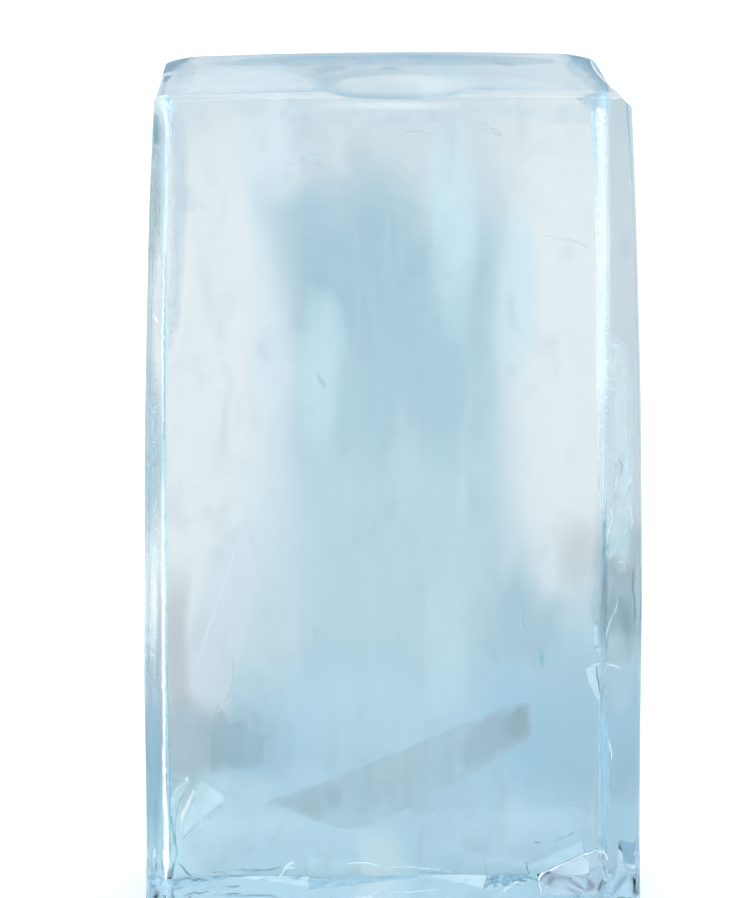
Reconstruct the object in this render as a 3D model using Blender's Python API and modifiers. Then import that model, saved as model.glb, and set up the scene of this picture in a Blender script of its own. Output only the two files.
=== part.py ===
"""Block of clear ice standing on end: one faceted solid, in metres, +Z up.

The block is a sawn slab, taller than wide. It stands on its flat sawn foot, with its front towards -Y.
Melting has narrowed the upper part and worn the edges. The origin is under the middle of the foot.
"""

import math

import bmesh
import bpy
from mathutils import Euler, Matrix, Vector, noise

# Driving dimensions, metres
WIDTH = 0.508            # left to right at the foot
DEPTH = 0.254            # front to back at the foot
HEIGHT = 0.870           # foot to top

# Melting, metres
MELT_START = 0.250       # height above which the block narrows
MELT_SIDES = 0.0155      # lost from each side at the top
MELT_FACES = 0.009       # lost from the front and from the back at the top
BACK_IN_LEFT = 0.023     # how much further in the left side is at the back, at the foot
BACK_IN_LEFT_TOP = 0.015 # the same at the top
BACK_IN_RIGHT = 0.024    # how much further in the right side is at the back
CROWN = 0.004            # the top is this much lower at its left and right ends
FOOT_SPREAD = 0.002      # the lowest part stands out this much further
FOOT_SPREAD_HEIGHT = 0.120
WAVE = 0.0016            # depth of the slow waves in the faces
WAVE_LENGTH = 0.170

# Vertical edges: radius low down and at the top, metres
ROUNDEST = 0.046         # the radius the corners are first cut to
EDGE_RADII = {
    "front_left": (0.007, 0.012),
    "front_right": (0.008, 0.014),
    "back_left": (0.009, 0.044),
    "back_right": (0.011, 0.045),
}
ROUNDING_START = 0.700   # height above which the vertical edges grow rounder
RIM_RADIUS = 0.006       # edges of the top and of the foot

# Facets
CORNER_STEPS = 5
RIM_STEPS = 2
ROW_HEIGHT = 0.029
COLUMN_WIDTH = 0.027
CHIP_DETAIL = 3

# Chips on the finished block: name, form, centre, half sizes in metres, turn in degrees about X, Y and Z.
# A "shell" is scooped out, as ice breaks when it is struck. A "flat" is split off along a plane.
CHIPS = (
    ("top_front_scallop", "shell", (0.004, -0.090, 0.8775), (0.078, 0.120, 0.0150), (4, 0, 0)),
    ("top_right_wear", "shell", (0.2530, -0.070, 0.8870), (0.044, 0.220, 0.043), (0, 0, 7.5)),
    ("top_left_wear", "shell", (-0.246, 0.060, 0.885), (0.026, 0.090, 0.026), (0, 0, 0)),
    ("right_splash_upper", "shell", (0.250, 0.070, 0.492), (0.018, 0.030, 0.040), (12, 0, 10)),
    ("right_splash_lower", "shell", (0.246, 0.112, 0.430), (0.022, 0.038, 0.046), (-10, 0, 22)),
    ("right_scar", "flat", (0.258, 0.034, 0.344), (0.020, 0.130, 0.060), (0, 3.2, 8.0)),
    ("right_ledge_chip", "shell", (0.234, 0.130, 0.262), (0.017, 0.024, 0.036), (0, 0, 30)),
    ("left_back_nick", "shell", (-0.250, 0.128, 0.322), (0.020, 0.018, 0.050), (0, 0, -20)),
    ("left_foot_flake", "flat", (-0.266, 0.020, 0.066), (0.016, 0.085, 0.040), (4, -6, 2)),
    ("left_foot_shell", "shell", (-0.258, 0.104, 0.044), (0.024, 0.040, 0.040), (0, 0, 0)),
    ("front_foot_facet", "flat", (0.1918, -0.1440, 0.0410), (0.034, 0.020, 0.040), (-5, -24, 0)),
    ("front_foot_sliver", "shell", (0.104, -0.146, -0.004), (0.034, 0.025, 0.040), (0, 30, 0)),
    ("right_foot_corner", "flat", (0.270, -0.128, 0.010), (0.030, 0.060, 0.052), (0, 28, -34)),
)

# Facets split off the back edge of the foot: place along X, half length, depth of the bite measured
# square to the facet, then pitch, tilt and swing in degrees
FOOT_BREAKS = (
    (-0.192, 0.034, 0.0068, 50, 5, 7),
    (-0.120, 0.044, 0.0046, 58, -1, -5),
    (-0.022, 0.058, 0.0078, 47, 3, 4),
    (0.072, 0.040, 0.0050, 60, -2, -8),
    (0.128, 0.022, 0.0105, 52, -5, 9),
    (0.180, 0.038, 0.0140, 42, -20, -6),
    (0.226, 0.026, 0.0120, 55, 9, 14),
)
BREAK_HALF = 0.030       # half size of each break's block of air, front to back and in height

ICE_COLOUR = (0.62, 0.82, 0.90, 1.0)
ICE_ROUGHNESS = 0.06
ICE_IOR = 1.31


def clear_scene():
    """Remove every object so that the script can be run again."""
    for item in list(bpy.data.objects):
        bpy.data.objects.remove(item, do_unlink=True)


def make_collection(name):
    """Make a collection in the scene."""
    group = bpy.data.collections.new(name)
    bpy.context.scene.collection.children.link(group)
    return group


def ice_material():
    """Clear, faintly blue ice."""
    material = bpy.data.materials.new("clear_ice")
    material.use_nodes = True
    shader = material.node_tree.nodes["Principled BSDF"]
    shader.inputs["Base Color"].default_value = ICE_COLOUR
    shader.inputs["Roughness"].default_value = ICE_ROUGHNESS
    shader.inputs["Metallic"].default_value = 0.0
    shader.inputs["IOR"].default_value = ICE_IOR
    shader.inputs["Transmission Weight"].default_value = 1.0
    return material


def smooth(low, high, value):
    """Rise smoothly from 0 at low to 1 at high."""
    share = min(1.0, max(0.0, (value - low) / (high - low)))
    return share * share * (3.0 - 2.0 * share)


def corner_name(x, y):
    """Name the vertical edge on this side of the block."""
    return ("back_" if y > 0 else "front_") + ("right" if x > 0 else "left")


def tighten_corner(point):
    """Bring a corner's arc in to the radius that its edge has at this height."""
    corner = Vector((math.copysign(WIDTH / 2, point.x), math.copysign(DEPTH / 2, point.y)))
    away = point.xy - corner
    if max(abs(away.x), abs(away.y)) > ROUNDEST * 1.001:
        return
    low, high = EDGE_RADII[corner_name(point.x, point.y)]
    radius = low + (high - low) * smooth(ROUNDING_START, HEIGHT, point.z)
    point.xy = corner + away * (radius / ROUNDEST)


def narrow(point):
    """Melt the upper part, draw the back in and let the foot stand out."""
    across = point.x / (WIDTH / 2)
    along = point.y / (DEPTH / 2)
    rise = max(0.0, (point.z - MELT_START) / (HEIGHT - MELT_START)) ** 2
    above_foot = smooth(0.0, FOOT_SPREAD_HEIGHT, point.z)
    left = BACK_IN_LEFT + (BACK_IN_LEFT_TOP - BACK_IN_LEFT) * rise
    drawn_in = BACK_IN_RIGHT if point.x > 0 else left
    back = (along + 1) / 2
    point.x -= across * (MELT_SIDES * rise + FOOT_SPREAD * above_foot + drawn_in * back)
    point.y -= along * (MELT_FACES * rise + FOOT_SPREAD * above_foot)
    point.z -= CROWN * across * across * smooth(HEIGHT * 0.8, HEIGHT, point.z)


def wave(point):
    """Press slow waves into the faces, inwards only, and none near the foot."""
    value = noise.noise(point / WAVE_LENGTH)
    depth = WAVE * (value + 1.0) * smooth(0.0, 0.060, point.z)
    facing = Vector((point.x / WIDTH, point.y / DEPTH))
    facing.normalize()
    point.xy -= facing * depth


def cut_rows(bm, length, spacing, axis, start):
    """Cut the mesh across an axis at even spaces, so that it can bend."""
    count = round(length / spacing)
    for index in range(1, count):
        place = Vector((0, 0, 0))
        place[axis] = start + length * index / count
        normal = Vector((0, 0, 0))
        normal[axis] = 1.0
        geometry = bm.verts[:] + bm.edges[:] + bm.faces[:]
        bmesh.ops.bisect_plane(bm, geom=geometry, dist=1e-6, plane_co=place, plane_no=normal)


def sawn_block(bm):
    """Start with a plain block whose four vertical edges are rounded."""
    place = Matrix.Translation((0, 0, HEIGHT / 2)) @ Matrix.Diagonal((WIDTH, DEPTH, HEIGHT, 1))
    bmesh.ops.create_cube(bm, size=1.0, matrix=place)
    upright = [edge for edge in bm.edges if abs(edge.verts[0].co.z - edge.verts[1].co.z) > HEIGHT / 2]
    bmesh.ops.bevel(bm, geom=upright, offset=ROUNDEST, segments=CORNER_STEPS, profile=0.5, affect="EDGES")
    cut_rows(bm, HEIGHT, ROW_HEIGHT, 2, 0.0)
    cut_rows(bm, WIDTH - 2 * ROUNDEST, COLUMN_WIDTH, 0, ROUNDEST - WIDTH / 2)
    cut_rows(bm, DEPTH - 2 * ROUNDEST, COLUMN_WIDTH, 1, ROUNDEST - DEPTH / 2)


def melted_block(group, material):
    """The block before it was chipped."""
    bm = bmesh.new()
    sawn_block(bm)
    for vertex in bm.verts:
        tighten_corner(vertex.co)
        narrow(vertex.co)
        wave(vertex.co)
    mesh = bpy.data.meshes.new("ice_block")
    bm.to_mesh(mesh)
    bm.free()
    block = bpy.data.objects.new("ice_block", mesh)
    block.data.materials.append(material)
    group.objects.link(block)
    rim = block.modifiers.new("worn rims", "BEVEL")
    rim.width = RIM_RADIUS
    rim.segments = RIM_STEPS
    rim.limit_method = "ANGLE"
    rim.angle_limit = math.radians(50)
    return block


def chip_cutter(group, name, form, centre, half_sizes, turn):
    """A lump or a block that bites a chip out of the ice."""
    bm = bmesh.new()
    if form == "shell":
        bmesh.ops.create_icosphere(bm, subdivisions=CHIP_DETAIL, radius=1.0)
    else:
        bmesh.ops.create_cube(bm, size=2.0)
    spin = Euler([math.radians(degrees) for degrees in turn]).to_matrix().to_4x4()
    place = Matrix.Translation(centre) @ spin @ Matrix.Diagonal((*half_sizes, 1.0))
    bmesh.ops.transform(bm, matrix=place, verts=bm.verts)
    mesh = bpy.data.meshes.new(name)
    bm.to_mesh(mesh)
    bm.free()
    cutter = bpy.data.objects.new(name, mesh)
    cutter.hide_render = True
    cutter.display_type = "WIRE"
    group.objects.link(cutter)
    return cutter


def chip(block, cutter):
    """Cut one chip out of the block."""
    cut = block.modifiers.new(cutter.name, "BOOLEAN")
    cut.operation = "DIFFERENCE"
    cut.solver = "EXACT"
    cut.object = cutter


def foot_break(group, index, place, half_length, bite, pitch, tilt, swing):
    """One facet split off the back edge of the foot."""
    turn = (pitch, tilt, swing)
    spin = Euler([math.radians(degrees) for degrees in turn]).to_matrix()
    outward = spin @ Vector((0, 0, -1))
    centre = Vector((place, DEPTH / 2, 0)) + outward * (BREAK_HALF - bite)
    half_sizes = (half_length, BREAK_HALF, BREAK_HALF)
    return chip_cutter(group, f"foot_break_{index}", "flat", centre, half_sizes, turn)


def build():
    """Make the block of ice and everything cut out of it."""
    clear_scene()
    parts = make_collection("ice block")
    cutters = make_collection("cutters")
    block = melted_block(parts, ice_material())
    for details in CHIPS:
        chip(block, chip_cutter(cutters, *details))
    for index, details in enumerate(FOOT_BREAKS):
        chip(block, foot_break(cutters, index, *details))


build()
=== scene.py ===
"""Looks of the ice block: its clear skin, the cracks and veils inside it, and a plain studio."""

import logging
import math
from dataclasses import dataclass
from enum import Enum

import bmesh
import bpy
import numpy as np
from mathutils import Euler, Matrix, Vector, noise


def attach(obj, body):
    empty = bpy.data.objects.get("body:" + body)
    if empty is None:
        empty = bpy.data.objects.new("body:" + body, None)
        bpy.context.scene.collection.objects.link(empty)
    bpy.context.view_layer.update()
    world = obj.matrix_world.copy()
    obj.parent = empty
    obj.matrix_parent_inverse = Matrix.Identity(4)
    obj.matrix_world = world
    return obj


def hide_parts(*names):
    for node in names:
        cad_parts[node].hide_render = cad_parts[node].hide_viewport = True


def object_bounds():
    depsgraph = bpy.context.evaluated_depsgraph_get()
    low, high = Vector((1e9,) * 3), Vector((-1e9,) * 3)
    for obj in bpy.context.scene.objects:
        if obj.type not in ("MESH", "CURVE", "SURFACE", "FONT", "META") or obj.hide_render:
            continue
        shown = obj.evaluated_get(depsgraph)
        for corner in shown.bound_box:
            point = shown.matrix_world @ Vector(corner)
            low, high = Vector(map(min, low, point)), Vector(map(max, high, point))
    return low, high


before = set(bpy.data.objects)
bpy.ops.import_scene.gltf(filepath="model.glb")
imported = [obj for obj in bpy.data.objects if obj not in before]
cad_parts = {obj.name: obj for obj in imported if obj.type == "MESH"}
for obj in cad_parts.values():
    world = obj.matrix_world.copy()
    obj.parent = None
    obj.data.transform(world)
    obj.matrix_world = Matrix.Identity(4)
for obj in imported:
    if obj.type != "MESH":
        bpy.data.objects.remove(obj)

CAD_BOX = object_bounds()
NODE = "ice_block"
BODY = "root"
SOFTNESS = "softness"    # how solid a crack is at each of its points, from 0 to 1
CRACK_CREASE = 40        # degrees past which two faces of a crack meet in a crease
MM = 1000                # millimetres in a metre
TINY = 1e-6              # metres within which points count as one
NOT_ZERO = 1e-12         # keeps a division away from zero
NOISE_MIDDLE = 0.5       # the value a noise swings about
DISPLAY_WHITE = 255      # a display value of full brightness
DISPLAY_GAMMA = 2.2      # the power that makes a display value linear

log = logging.getLogger("ice_block")

Row = tuple[float, ...]


def smooth(low: float, high: float, value: np.ndarray) -> np.ndarray:
    """Rise smoothly from 0 at low to 1 at high.

    Args:
        low: where the rise starts.
        high: where it ends.
        value: the values to read it at.

    Returns:
        The height of the rise at each value.
    """
    share = np.clip((value - low) / (high - low), 0.0, 1.0)
    return share * share * (3.0 - 2.0 * share)


class Form(Enum):
    """How a chip broke away."""

    SHELL = "scooped out, as struck ice breaks"
    FLAT = "split off along a plane"


@dataclass(frozen=True)
class Chip:
    """One chip out of the block: a lump or a slab of air that bites into it."""

    name: str
    form: Form
    centre: Row
    half_sizes: Row
    turn: Row
    ripple: float = 0.0007
    ripple_length: float = 0.011
    shell_detail: int = 4
    slab_cuts: int = 18

    def cutter(self, group: bpy.types.Collection, material: bpy.types.Material) -> bpy.types.Object:
        """Make the bite as a closed lump with a rippled surface.

        Args:
            group: the collection that holds the cutters.
            material: the ice's finish, which the broken faces take.

        Returns:
            The cutter.
        """
        bm = bmesh.new()
        if self.form is Form.SHELL:
            bmesh.ops.create_icosphere(bm, subdivisions=self.shell_detail, radius=1.0)
        else:
            bmesh.ops.create_cube(bm, size=2.0)
            bmesh.ops.subdivide_edges(bm, edges=bm.edges[:], cuts=self.slab_cuts, use_grid_fill=True)
        spin = Euler([math.radians(angle) for angle in self.turn]).to_matrix().to_4x4()
        place = Matrix.Translation(self.centre) @ spin @ Matrix.Diagonal((*self.half_sizes, 1.0))
        bmesh.ops.transform(bm, matrix=place, verts=bm.verts)
        bm.normal_update()
        for vertex in bm.verts:
            vertex.co += vertex.normal * self.ripple * noise.noise(vertex.co / self.ripple_length)
        mesh = bpy.data.meshes.new(self.name)
        bm.to_mesh(mesh)
        bm.free()
        mesh.materials.append(material)
        lump = bpy.data.objects.new(self.name, mesh)
        group.objects.link(lump)
        return lump


CHIPS = (
    Chip("top_front_scallop", Form.SHELL, (0.004, -0.090, 0.8775), (0.078, 0.120, 0.0150), (4, 0, 0)),
    Chip("top_right_wear", Form.SHELL, (0.2530, -0.070, 0.8870), (0.044, 0.220, 0.043), (0, 0, 7.5)),
    Chip("top_left_wear", Form.SHELL, (-0.246, 0.060, 0.885), (0.026, 0.090, 0.026), (0, 0, 0)),
    Chip("right_splash_upper", Form.SHELL, (0.250, 0.070, 0.492), (0.018, 0.030, 0.040), (12, 0, 10)),
    Chip("right_splash_lower", Form.SHELL, (0.246, 0.112, 0.430), (0.022, 0.038, 0.046), (-10, 0, 22)),
    Chip("right_scar", Form.FLAT, (0.258, 0.034, 0.344), (0.020, 0.130, 0.060), (0, 3.2, 8.0)),
    Chip("right_ledge_chip", Form.SHELL, (0.234, 0.130, 0.262), (0.017, 0.024, 0.036), (0, 0, 30)),
    Chip("left_back_nick", Form.SHELL, (-0.250, 0.128, 0.322), (0.020, 0.018, 0.050), (0, 0, -20)),
    Chip("left_foot_flake", Form.FLAT, (-0.266, 0.020, 0.066), (0.016, 0.085, 0.040), (4, -6, 2)),
    Chip("left_foot_shell", Form.SHELL, (-0.258, 0.104, 0.044), (0.024, 0.040, 0.040), (0, 0, 0)),
    Chip("front_foot_facet", Form.FLAT, (0.1918, -0.1440, 0.0410), (0.034, 0.020, 0.040), (-5, -24, 0)),
    Chip("front_foot_sliver", Form.SHELL, (0.104, -0.146, -0.004), (0.034, 0.025, 0.040), (0, 30, 0)),
    Chip("right_foot_corner", Form.FLAT, (0.270, -0.128, 0.010), (0.030, 0.060, 0.052), (0, 28, -34)),
)


@dataclass(frozen=True)
class FootBreak:
    """One facet split off the back edge of the foot, at a place along X."""

    place: float
    half_length: float
    bite: float
    turn: Row
    half: float = 0.030

    def chip(self, index: int, depth: float) -> Chip:
        """Work out the slab of air that splits this facet off.

        Args:
            index: its number along the edge.
            depth: the block's depth.

        Returns:
            The chip.
        """
        spin = Euler([math.radians(angle) for angle in self.turn]).to_matrix()
        outward = spin @ Vector((0, 0, -1))
        centre = Vector((self.place, depth / 2, 0)) + outward * (self.half - self.bite)
        half_sizes = (self.half_length, self.half, self.half)
        return Chip(f"foot_break_{index}", Form.FLAT, centre, half_sizes, self.turn)


FOOT_BREAKS = (
    FootBreak(-0.192, 0.034, 0.0068, (50, 5, 7)),
    FootBreak(-0.120, 0.044, 0.0046, (58, -1, -5)),
    FootBreak(-0.022, 0.058, 0.0078, (47, 3, 4)),
    FootBreak(0.072, 0.040, 0.0050, (60, -2, -8)),
    FootBreak(0.128, 0.022, 0.0105, (52, -5, 9)),
    FootBreak(0.180, 0.038, 0.0140, (42, -20, -6)),
    FootBreak(0.226, 0.026, 0.0120, (55, 9, 14)),
)


class Tone(Enum):
    """How a zone of the ice looks against white, as display red, green and blue."""

    CLEAR = (229, 241, 246)
    MILK = (227, 237, 241)
    PEARL = (213, 232, 241)
    HAZE = (205, 221, 229)
    SHEET = (204, 222, 232)
    CYAN = (200, 232, 244)
    POOL = (182, 213, 227)
    HEART = (163, 198, 215)
    BLUE = (160, 205, 230)
    DEEP = (165, 202, 220)
    SLATE = (161, 187, 201)
    WARM = (199, 212, 217)
    FOOT = (194, 228, 242)
    ROSE = (190, 200, 207)

    def tint(self, through: Row, lit: float = 1.0) -> Row:
        """Work out the base colour that shows this tone.

        Args:
            through: how clear ice looks, in linear red, green and blue.
            lit: how bright what lies behind it is, against the sky.

        Returns:
            A linear base colour with alpha 1.
        """
        seen = [(value / DISPLAY_WHITE) ** DISPLAY_GAMMA for value in self.value]
        return (*(min(1.0, (part / whole / lit) ** 2) for part, whole in zip(seen, through)), 1.0)


@dataclass(frozen=True)
class Zone:
    """A soft-edged zone on a face: its middle, half sizes, tone, strength, softness and lean in degrees.

    The last value, lit, is how bright what lies behind the zone is, against the sky.
    """

    name: str
    middle: Row
    half: Row
    tone: Tone
    strength: float = 1.0
    softness: float = 0.6
    lean: float = 0.0
    lit: float = 1.0


# Zones seen deep in the ice, laid on in this order; the ones named shade are painted shade. Places are metres
# right of the middle and above the foot, where they show on the front.
DEEP_ZONES = (
    Zone("low_blue", (0.000, 0.150), (0.600, 0.170), Tone.BLUE, 0.9, 0.7),
    Zone("upper_haze", (0.000, 0.900), (0.420, 0.200), Tone.HAZE, 1.0, 0.75),
    Zone("left_milk", (-0.206, 0.590), (0.116, 0.310), Tone.MILK, 1.0, 0.70, 3),
    Zone("left_milk_low", (-0.214, 0.350), (0.058, 0.200), Tone.MILK, 0.75, 0.70, 10),
    Zone("left_pearl", (-0.122, 0.700), (0.040, 0.230), Tone.PEARL, 0.9, 0.7),
    Zone("right_milk", (0.186, 0.620), (0.100, 0.330), Tone.MILK, 1.0, 0.70, -2),
    Zone("heart", (-0.050, 0.702), (0.100, 0.102), Tone.HEART, 0.95, 0.75, -12),
    Zone("heart_low", (0.020, 0.615), (0.095, 0.160), Tone.HEART, 0.7, 0.9),
    Zone("right_shade", (0.132, 0.325), (0.050, 0.060), Tone.HEART, 0.8, 0.8),
    Zone("warm_patch", (0.186, 0.405), (0.036, 0.048), Tone.WARM, 0.8, 0.9),
    Zone("right_low", (0.180, 0.190), (0.060, 0.120), Tone.DEEP, 0.6, 0.7),
    Zone("left_sheet", (-0.180, 0.300), (0.034, 0.160), Tone.SHEET, 0.8, 0.5, 14),
    Zone("left_rose", (-0.221, 0.290), (0.018, 0.110), Tone.ROSE, 0.9, 0.8, 4),
    Zone("left_grey", (-0.152, 0.218), (0.044, 0.044), Tone.SLATE, 0.6, 0.8, -14),
    Zone("streak_top", (0.055, 0.745), (0.028, 0.125), Tone.CYAN, 0.75, 1.0),
    Zone("streak_left", (-0.070, 0.590), (0.026, 0.090), Tone.CYAN, 0.50, 1.0),
    Zone("streak_right", (0.116, 0.655), (0.022, 0.105), Tone.CYAN, 0.65, 1.0),
    Zone("left_pearl_low", (-0.140, 0.390), (0.070, 0.170), Tone.PEARL, 0.42, 0.9),
    Zone("left_shade", (-0.203, 0.205), (0.042, 0.075), Tone.SLATE, 0.8, 0.8),
    Zone("low_pale", (-0.012, 0.215), (0.145, 0.085), Tone.FOOT, 0.55, 0.9),
    Zone("chip_pale", (-0.156, 0.150), (0.055, 0.038), Tone.FOOT, 0.7, 0.8),
    Zone("right_foot_shade", (0.130, 0.112), (0.080, 0.045), Tone.BLUE, 0.6, 0.8),
    Zone("streak_low", (0.061, 0.312), (0.024, 0.085), Tone.CYAN, 0.35, 0.9),
    # Painted light: these two are laid on lighter, to make up for the floor's shadow seen through the foot.
    Zone("foot_pale", (-0.100, 0.020), (0.400, 0.170), Tone.FOOT, 0.95, 0.85, lit=0.85),
    Zone("streak_foot", (-0.012, 0.050), (0.034, 0.080), Tone.CLEAR, 0.45, 1.0, lit=0.85),
)

# Zones where the sides show through the front.
STRIP_ZONES = (
    Zone("right_side_high", (0.242, 0.640), (0.040, 0.320), Tone.HAZE, 0.75, 0.30),
    Zone("right_side_scar", (0.242, 0.350), (0.040, 0.065), Tone.HAZE, 0.7, 0.30),
    Zone("left_side_high", (-0.256, 0.640), (0.030, 0.300), Tone.HAZE, 1.0, 0.40),
    Zone("left_side_low", (-0.256, 0.200), (0.030, 0.160), Tone.PEARL, 0.6, 0.40),
)

# Zones of the top. Places are metres right of the middle and back from the middle.
TOP_ZONES = (
    Zone("back_band", (-0.020, 0.120), (0.190, 0.070), Tone.HEART, 0.9, 0.7),
    Zone("front_half", (0.000, -0.110), (0.300, 0.110), Tone.MILK, 0.7, 0.7),
    Zone("left_corner", (-0.225, 0.070), (0.040, 0.080), Tone.CLEAR, 0.6, 0.4),
    Zone("right_corner", (0.215, 0.090), (0.050, 0.090), Tone.POOL, 0.8, 0.4),
)


@dataclass(frozen=True)
class Grain:
    """A noise stretched along the axes: waves per metre, finer waves, swirl, and where it starts and ends."""

    waves: Row
    detail: float = 2.0
    swirl: float = 0.4
    low: float = 0.30
    high: float = 0.70


@dataclass
class Painter:
    """Adds shader nodes to a material's tree."""

    tree: bpy.types.NodeTree

    def node(self, kind: str, **settings: object) -> bpy.types.Node:
        """Add a node and set it up.

        Args:
            kind: the node's type.
            settings: properties to set on it.

        Returns:
            The node.
        """
        made = self.tree.nodes.new(kind)
        for key, value in settings.items():
            setattr(made, key, value)
        return made

    def feed(self, socket: bpy.types.NodeSocket, value: object) -> None:
        """Link a socket to another, or give it a plain value.

        Args:
            socket: the input.
            value: an output socket, or a plain value.
        """
        if isinstance(value, bpy.types.NodeSocket):
            self.tree.links.new(value, socket)
        else:
            socket.default_value = value

    def sum(
        self, operation: str, first: object, second: object = 0.0, third: object = 0.0
    ) -> bpy.types.NodeSocket:
        """Do one step of arithmetic.

        Args:
            operation: the math node's operation.
            first: first value.
            second: second value.
            third: third value.

        Returns:
            The result's socket.
        """
        made = self.node("ShaderNodeMath", operation=operation)
        for socket, value in zip(made.inputs, (first, second, third)):
            self.feed(socket, value)
        return made.outputs[0]

    def rise(
        self, value: object, low: float, high: float, start: float = 0.0, end: float = 1.0
    ) -> bpy.types.NodeSocket:
        """Rise smoothly from start to end as a value goes from low to high.

        Args:
            value: the value to follow.
            low: where the rise starts.
            high: where it ends.
            start: the result below low.
            end: the result above high.

        Returns:
            The result's socket.
        """
        made = self.node("ShaderNodeMapRange", interpolation_type="SMOOTHSTEP")
        names = ("Value", "From Min", "From Max", "To Min", "To Max")
        for name, item in zip(names, (value, low, high, start, end)):
            self.feed(made.inputs[name], item)
        return made.outputs["Result"]

    def mix(self, share: object, under: object, over: object) -> bpy.types.NodeSocket:
        """Lay one colour over another.

        Args:
            share: how much of the upper colour shows.
            under: the lower colour.
            over: the upper colour.

        Returns:
            The colour's socket.
        """
        made = self.node("ShaderNodeMix", data_type="RGBA", blend_type="MIX")
        self.feed(made.inputs["Factor"], share)
        self.feed(made.inputs[6], under)
        self.feed(made.inputs[7], over)
        return made.outputs[2]

    def noise(self, place: object, grain: Grain) -> bpy.types.NodeSocket:
        """Read a grain's noise.

        Args:
            place: where to read it.
            grain: the grain.

        Returns:
            The noise's value, from 0 to 1.
        """
        scaled = self.node("ShaderNodeVectorMath", operation="MULTIPLY")
        self.feed(scaled.inputs[0], place)
        scaled.inputs[1].default_value = grain.waves
        made = self.node("ShaderNodeTexNoise")
        self.feed(made.inputs["Vector"], scaled.outputs[0])
        made.inputs["Scale"].default_value = 1.0
        made.inputs["Detail"].default_value = grain.detail
        made.inputs["Distortion"].default_value = grain.swirl
        return made.outputs["Fac"]

    def show(self, place: object, grain: Grain, least: float, most: float) -> bpy.types.NodeSocket:
        """Follow a grain from where it doesn't show to where it shows fully.

        Args:
            place: where to read it.
            grain: the grain.
            least: the result where it doesn't show.
            most: the result where it shows fully.

        Returns:
            The result's socket.
        """
        return self.rise(self.noise(place, grain), grain.low, grain.high, least, most)

    def within(self, place: object, zone: Zone) -> bpy.types.NodeSocket:
        """Measure how much a zone covers a place.

        Args:
            place: the place, in the zone's own two coordinates.
            zone: the zone, a soft-edged box with rounded corners.

        Returns:
            0 outside, rising to the zone's strength inside.
        """
        fit = self.node("ShaderNodeMapping", vector_type="TEXTURE")
        self.feed(fit.inputs["Vector"], place)
        fit.inputs["Location"].default_value = (*zone.middle, 0)
        fit.inputs["Rotation"].default_value = (0, 0, math.radians(-zone.lean))
        fit.inputs["Scale"].default_value = (*zone.half, 1)
        square = self.node("ShaderNodeVectorMath", operation="MULTIPLY")
        self.feed(square.inputs[0], fit.outputs[0])
        self.feed(square.inputs[1], fit.outputs[0])
        reach = self.node("ShaderNodeVectorMath", operation="LENGTH")
        self.feed(reach.inputs[0], square.outputs[0])
        return self.rise(reach.outputs["Value"], (1.0 - zone.softness) ** 2, 1.0, zone.strength, 0.0)

    def spot(self, across: object, up: object) -> bpy.types.NodeSocket:
        """Join two coordinates into a place.

        Args:
            across: the first coordinate.
            up: the second.

        Returns:
            The place's socket.
        """
        join = self.node("ShaderNodeCombineXYZ")
        self.feed(join.inputs[0], across)
        self.feed(join.inputs[1], up)
        return join.outputs[0]


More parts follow.
